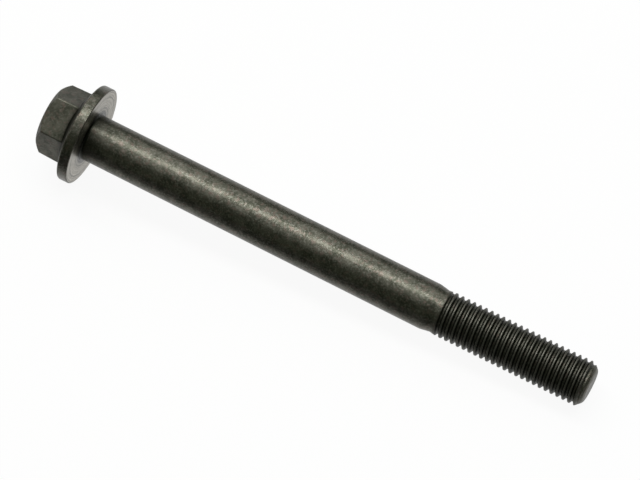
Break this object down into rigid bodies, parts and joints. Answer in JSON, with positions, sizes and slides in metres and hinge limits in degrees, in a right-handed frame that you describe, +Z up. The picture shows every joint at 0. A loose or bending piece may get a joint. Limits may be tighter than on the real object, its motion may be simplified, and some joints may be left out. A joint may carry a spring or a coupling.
{
  "type": "hex flange bolt",
  "caption": "Long hex flange bolt in dark phosphate-coated steel, with a plain shank and a rolled right-hand thread at the end.",
  "frame": {"origin": "on the floor, under the middle of the lying bolt", "axes": "+X along the floor from the head to the point, the bolt's axis leaning 3 degrees down towards the point; +Z up"},
  "size_m": [0.1412, 0.0242, 0.0243],
  "materials": {
    "phosphated_steel": "dark manganese-phosphate coating, satin, worn a little brighter on edges, crests and the bearing face"
  },
  "bodies": {
    "root": {"flange_bolt": "phosphated_steel"}
  },
  "joints": []
}
